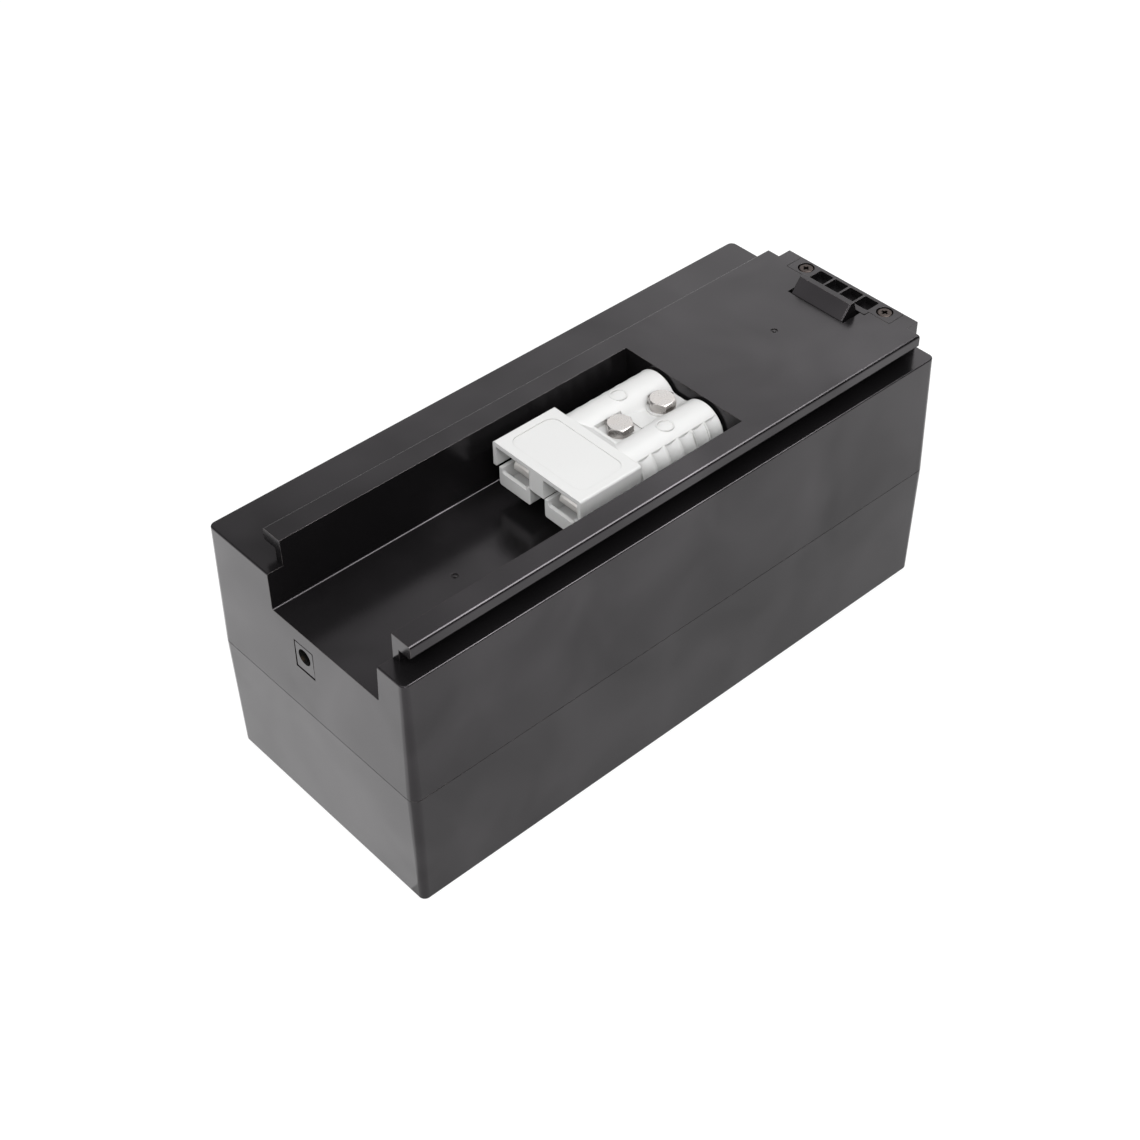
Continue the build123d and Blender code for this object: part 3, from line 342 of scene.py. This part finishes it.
def floor_material():
    """Matte pale paper on a light table. Off the camera, its glow has a painted contact shadow close to
    the object and painted shade towards the front.
    """
    material, tree, surface = new_material("floor_paper")
    tone = mix(tree, noise(tree, 3, 3.0), grey(0.20), grey(0.23))
    spot = add(tree, "SeparateXYZ", {0: place(tree)}).outputs
    gaps = []
    for axis in (0, 1):
        middle = (CAD_BOX[0][axis] + CAD_BOX[1][axis]) / 2
        half = (CAD_BOX[1][axis] - CAD_BOX[0][axis]) / 2
        off_centre = calc(tree, "ABSOLUTE", calc(tree, "SUBTRACT", spot[axis], middle))
        gaps.append(calc(tree, "SUBTRACT", off_centre, half))
    # painted contact shadow: except for the camera, the glow dims close to the object
    close, clear = 10 * MM, 115 * MM
    shade = remap(tree, calc(tree, "MAXIMUM", *gaps), close, clear, FLOOR_NEAR, 1.0)
    # painted shade: the glow is darker towards the front
    front_y, rear_y = -60 * MM, 200 * MM
    shade = calc(tree, "MULTIPLY", shade, remap(tree, spot[1], front_y, rear_y, 0.94, 1.07))
    shade = calc(tree, "MAXIMUM", shade, add(tree, "LightPath").outputs["Is Camera Ray"])
    glow = calc(tree, "MULTIPLY", shade, FLOOR_LIGHT)
    connect(tree, surface, Base_Color=tone, Roughness=0.8, Emission_Strength=glow)
    connect(tree, surface, Emission_Color=grey(1.0), Specular_IOR_Level=0.1)
    connect(tree, surface, Normal=bump(tree, noise(tree, 900, 2.0), 0.02 * MM))
    return material


def make_materials():
    """One material for each material slot of the record."""
    dark = (1.0, 0.94, 1.0)
    cool = (1.0, 0.93, 0.99, 1.0)
    # colour of the highlight painted along outer edges of the dark plastics
    edge_highlight = (0.125, 0.112, 0.106, 1)
    steel = grey(0.54, (1.0, 0.965, 0.94))
    return {
        "case_plastic": moulded_plastic(
            "case_plastic", grey(0.005, dark), grey(0.018, dark), 0.20, mottle=1.2, tint=cool,
            edge_highlight=edge_highlight,
        ),
        "latch_plastic": moulded_plastic(
            "latch_plastic", grey(0.005, dark), grey(0.022, dark), 0.20, edge=0.25 * MM, tint=cool,
            edge_highlight=edge_highlight,
        ),
        "connector_plastic": moulded_plastic(
            "connector_plastic", (0.63, 0.63, 0.625, 1), (0.72, 0.72, 0.71, 1), 0.46,
            # painted shade in the gaps, a brownish grey
            edge=0.25 * MM, mottle=0.2, grain=1.5, gloss=0.25, crevice_shade=(0.15, 0.115, 0.10, 1),
        ),
        "seal_rubber": rubber("seal_rubber", grey(0.014), grey(0.05)),
        "grommet_rubber": rubber("grommet_rubber", grey(0.016), grey(0.05)),
        "screw_steel": metal("screw_steel", (0.055, 0.044, 0.040, 1), grey(0.020), 0.36),
        "stainless_steel": metal("stainless_steel", steel, (0.42, 0.36, 0.33, 1), 0.24),
        "spring_steel": metal("spring_steel", grey(0.50), grey(0.25), 0.22),
        "silver_plate": metal(
            "silver_plate", (0.90, 0.88, 0.85, 1), (0.60, 0.54, 0.48, 1), 0.34, tarnish=0.15,
            metallic=0.6,
        ),
        "brass": metal("brass", (0.78, 0.56, 0.26, 1), (0.40, 0.27, 0.12, 1), 0.24),
        "cable_black": rubber("cable_black", grey(0.016), grey(0.06), 0.48),
        "cable_red": rubber("cable_red", (0.42, 0.012, 0.010, 1), (0.50, 0.08, 0.07, 1), 0.46),
        "wire_ribbon": rubber("wire_ribbon", grey(0.09), grey(0.16), 0.5),
        "plug_white": moulded_plastic(
            "plug_white", (0.70, 0.69, 0.62, 1), (0.78, 0.77, 0.72, 1), 0.42, edge=0.2 * MM
        ),
        "socket_plastic": moulded_plastic(
            "socket_plastic", grey(0.009), grey(0.03), 0.22, edge=0.15 * MM, tint=cool
        ),
        "cell_can": cell_sleeve("cell_can", (0.015, 0.16, 0.24, 1), (0.05, 0.26, 0.34, 1)),
        "holder_plastic": moulded_plastic(
            "holder_plastic", grey(0.016), grey(0.05), 0.42, edge=0.2 * MM
        ),
        "nickel": metal("nickel", (0.66, 0.62, 0.56, 1), (0.42, 0.38, 0.33, 1), 0.26,
                        brushed=(0.1, 1.0, 1.0)),
        "foam": foam("foam", grey(0.03), grey(0.07)),
        "insulation_sheet": fibre_sheet(
            "insulation_sheet", (0.035, 0.13, 0.07, 1), (0.10, 0.24, 0.15, 1)
        ),
        "circuit_board": circuit_board("circuit_board"),
        "transistor_epoxy": moulded_plastic(
            "transistor_epoxy", grey(0.012), grey(0.04), 0.5, edge=0.1 * MM
        ),
        "heat_spreader": metal("heat_spreader", grey(0.72), grey(0.5), 0.34, brushed=(0.05, 1, 1)),
        "fuse_plastic": moulded_plastic("fuse_plastic", grey(0.02), grey(0.06), 0.38,
                                        edge=0.2 * MM),
    }


def dress_nodes(materials):
    """Gives every CAD node the material of its slot."""
    slots = {part["node"]: part["material_slot"] for part in frame["record"]["subparts"]}
    for name, shape in NODES.items():
        for slot in shape.material_slots:
            slot.material = materials[slots[name]]


# ---------------------------------------------------------------- pieces made here
def coil(name, x, y, z0, z1, radius, wire, turns):
    """A ground coil spring: the pitch closes up over the last turn at both ends."""
    steps = 40
    sides = 12
    count = int(turns * steps)
    share = np.linspace(0.0, 1.0, count + 1)
    closed = 1.0 / turns
    rise = np.clip((share - closed) / (1.0 - 2.0 * closed), 0.0, 1.0)
    ramp_in = np.minimum(share, closed) * turns + np.maximum(share - (1.0 - closed), 0.0) * turns
    height = 2 * wire * ramp_in + rise * (z1 - z0 - 2 * wire - 4 * wire)
    angle = share * turns * 2 * math.pi
    centre = np.stack([
        x + radius * np.cos(angle), y + radius * np.sin(angle), z0 + wire + height
    ], axis=1)
    tangent = np.gradient(centre, axis=0)
    tangent /= np.linalg.norm(tangent, axis=1)[:, None]
    outward = np.stack([np.cos(angle), np.sin(angle), np.zeros_like(angle)], axis=1)
    upward = np.cross(tangent, outward)
    ring = np.arange(sides) * 2 * math.pi / sides
    points = (
        centre[:, None, :]
        + wire * np.cos(ring)[None, :, None] * outward[:, None, :]
        + wire * np.sin(ring)[None, :, None] * upward[:, None, :]
    ).reshape(-1, 3)
    faces = []
    for step in range(count):
        for side in range(sides):
            here = step * sides + side
            following = step * sides + (side + 1) % sides
            faces.append((here, following, following + sides, here + sides))
    faces.append(tuple(range(sides - 1, -1, -1)))
    faces.append(tuple(count * sides + side for side in range(sides)))
    mesh = bpy.data.meshes.new(name)
    mesh.from_pydata([tuple(point) for point in points], [], faces)
    mesh.shade_smooth()
    made = bpy.data.objects.new(name, mesh)
    bpy.context.scene.collection.objects.link(made)
    return made


def latch_coils(materials):
    """The latch's two springs, built as coils in place of the CAD part."""
    low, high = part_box("latch_springs")
    wire = 0.4 * MM
    turns = 8
    radius = (high.y - low.y) / 2 - wire
    middle = (low + high) / 2
    offset = (high.x - low.x) / 2 - radius - wire
    for side, label in ((-1, "left"), (1, "right")):
        x = middle.x + side * offset
        spring = coil(f"latch_coil_{label}", x, middle.y, low.z, high.z, radius, wire, turns)
        spring.data.materials.append(materials["spring_steel"])
        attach(spring, "case")
        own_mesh(spring)
    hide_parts("latch_springs")


# ---------------------------------------------------------------- studio
def make_floor():
    size = 6.0
    mesh = bpy.data.meshes.new("floor")
    corners = [(-size, -size, 0), (size, -size, 0), (size, size, 0), (-size, size, 0)]
    mesh.from_pydata(corners, [], [(0, 1, 2, 3)])
    mesh.materials.append(floor_material())
    floor = bpy.data.objects.new("floor", mesh)
    floor.location.z = CAD_BOX[0].z - 0.2 * MM
    bpy.context.scene.collection.objects.link(floor)


def area_light(name, location, target, width, height, brightness):
    """A light panel whose centre is at the location and which faces the target; sizes in metres."""
    light = bpy.data.lights.new(name, "AREA")
    light.shape = "RECTANGLE"
    light.size = width
    light.size_y = height
    light.energy = brightness * math.pi * width * height
    made = bpy.data.objects.new(name, light)
    made.location = location
    made.rotation_mode = "QUATERNION"
    made.rotation_quaternion = (Vector(target) - Vector(location)).to_track_quat("-Z", "Y")
    made.visible_camera = False
    bpy.context.scene.collection.objects.link(made)
    return made


def make_lights():
    """Soft boxes at the left, at the right and above, two strips, and the glare of the floor."""
    middle = (CAD_BOX[0] + CAD_BOX[1]) / 2
    panels = (
        ("key_box", (-0.62, -0.80, 0.92), 1.2, 1.0, KEY_LIGHT),
        ("fill_box", (0.80, -0.30, 0.85), 1.0, 0.9, FILL_LIGHT),
        ("top_box", (0.36, -0.26, 1.18), 1.8, 1.6, TOP_LIGHT),
        ("edge_strip", (0.10, 0.64, 1.27), 1.0, 0.55, EDGE_LIGHT),
        ("side_strip", (0.97, -0.67, 0.34), 0.5, 0.35, SIDE_LIGHT),
    )
    made = {
        name: area_light(name, location, middle, width, height, brightness)
        for name, location, width, height, brightness in panels
    }
    # the glare lies on the floor to the left of the right side and before the nose, and runs a
    # little way under the object at both
    right = CAD_BOX[1].x - 8 * MM
    near = CAD_BOX[0].y + 10 * MM
    width, depth = 0.95, 0.82
    spot = (right - width / 2, near - depth / 2)
    made["floor_glow"] = area_light(
        "floor_glow", (*spot, 1 * MM), (*spot, 1.0), width, depth, FLOOR_GLOW
    )
    for name in ("key_box", "fill_box"):
        made[name].visible_glossy = False
    for name in ("edge_strip", "side_strip", "floor_glow"):
        made[name].visible_diffuse = False


def lobe(tree, direction, start, peak):
    """A soft bright patch of the room, centred on a direction; start is the cosine at its rim."""
    heading = add(tree, "TexCoord").outputs["Generated"]
    along = add(
        tree, "VectorMath", {0: heading, 1: Vector(direction).normalized()}, operation="DOT_PRODUCT"
    ).outputs["Value"]
    return remap(tree, along, start, 1.0, 0.0, peak)


def make_world():
    """White to the camera; for everything else a dim room with two soft bright sides."""
    rear_left = (-0.45, 0.78, 0.43)
    front_left = (-0.546, -0.763, 0.344)
    world = bpy.data.worlds.new("studio")
    world.use_nodes = True
    tree = world.node_tree
    background = tree.nodes["Background"]
    room = calc(tree, "ADD", ROOM_LIGHT, lobe(tree, rear_left, 0.81, REAR_ROOM))
    room = calc(tree, "ADD", room, lobe(tree, front_left, 0.82, FRONT_ROOM))
    seen = add(tree, "LightPath").outputs["Is Camera Ray"]
    strength = calc(tree, "MAXIMUM", room, seen)
    tree.links.new(strength, background.inputs["Strength"])
    background.inputs["Color"].default_value = grey(1.0)
    bpy.context.scene.world = world


def make_camera():
    azimuth = math.radians(VIEW_AZIMUTH)
    elevation = math.radians(VIEW_ELEVATION)
    roll = math.radians(VIEW_ROLL)
    back = Vector((
        math.sin(azimuth) * math.cos(elevation),
        -math.cos(azimuth) * math.cos(elevation),
        math.sin(elevation),
    ))
    level = Vector((math.cos(azimuth), math.sin(azimuth), 0.0))
    upward = back.cross(level)
    right = level * math.cos(roll) + upward * math.sin(roll)
    up = upward * math.cos(roll) - level * math.sin(roll)
    data = bpy.data.cameras.new("camera")
    data.lens = VIEW_LENS
    data.sensor_width = 36.0
    data.shift_x, data.shift_y = VIEW_SHIFT
    camera = bpy.data.objects.new("camera", data)
    aim = (CAD_BOX[0] + CAD_BOX[1]) / 2 + Vector(AIM_OFFSET)
    turn = Matrix((right, up, back)).transposed().to_4x4()
    camera.matrix_world = Matrix.Translation(aim + back * VIEW_DISTANCE) @ turn
    bpy.context.scene.collection.objects.link(camera)
    bpy.context.scene.camera = camera


# ---------------------------------------------------------------- build
all_materials = make_materials()
dress_nodes(all_materials)
latch_coils(all_materials)
make_floor()
make_lights()
make_world()
make_camera()
bpy.context.scene.view_settings.view_transform = "Standard"
